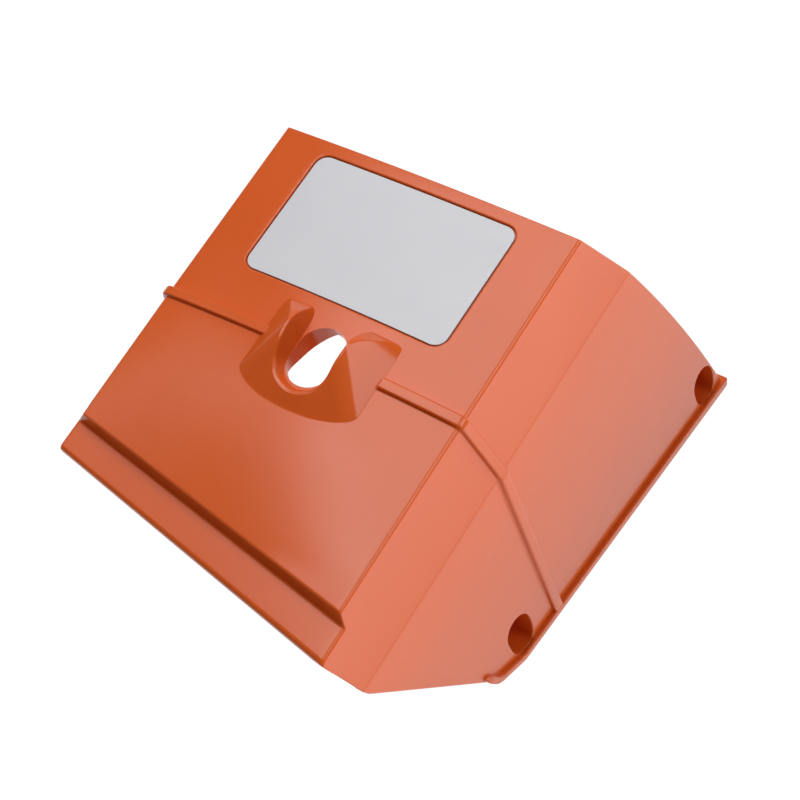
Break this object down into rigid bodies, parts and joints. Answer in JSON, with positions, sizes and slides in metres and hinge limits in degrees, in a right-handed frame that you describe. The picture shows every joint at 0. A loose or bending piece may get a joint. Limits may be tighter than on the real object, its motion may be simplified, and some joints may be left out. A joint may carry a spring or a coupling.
{
  "type": "small engine top cover",
  "caption": "Thin-walled moulded top cover for a small engine, with a recessed nameplate, a horned access opening, a raised bead and a screw-on side flange.",
  "frame": {"origin": "bottom centre of the bounding box", "axes": "+Z square to the top panel, +Y towards the nameplate end, +X towards the long wall with the screw flange"},
  "size_m": [0.1402, 0.2114, 0.1758],
  "materials": {
    "orange_plastic": "glossy injection-moulded plastic, slight orange peel",
    "plate_grey": "satin light-grey blank plate",
    "adhesive_film": "translucent off-white adhesive film"
  },
  "bodies": {
    "root": {"cover_shell": "orange_plastic", "nameplate": "plate_grey", "nameplate_adhesive_film": "adhesive_film"}
  },
  "joints": []
}
